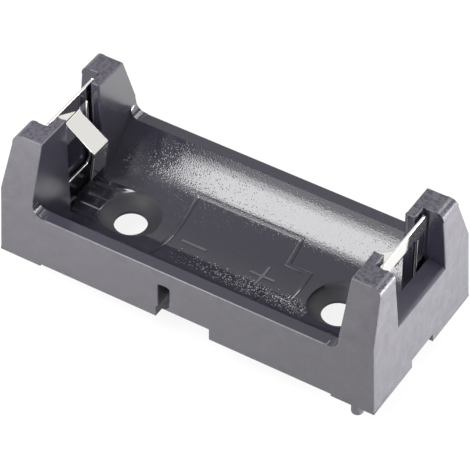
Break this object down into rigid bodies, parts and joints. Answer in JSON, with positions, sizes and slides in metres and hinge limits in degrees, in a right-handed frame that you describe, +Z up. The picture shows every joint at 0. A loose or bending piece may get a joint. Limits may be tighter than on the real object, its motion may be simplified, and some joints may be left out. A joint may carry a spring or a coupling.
{
  "type": "through-hole battery holder",
  "caption": "Board-mount battery holder: dark moulded trough with slotted end walls, a folded sheet spring contact at each end, countersunk screw holes, locating pegs and solder pins.",
  "frame": {"origin": "on the board surface, in the middle of the housing's footprint", "axes": "+X along the cell towards the positive contact, +Y across it, +Z up off the board"},
  "size_m": [0.045, 0.0196, 0.0179],
  "materials": {
    "moulded_plastic": "fine moulded texture, slightly glossy trough",
    "nickel_plated_steel": "nickel plated spring steel"
  },
  "bodies": {
    "root": {"housing": "moulded_plastic", "contact_negative": "nickel_plated_steel", "contact_positive": "nickel_plated_steel"}
  },
  "joints": []
}
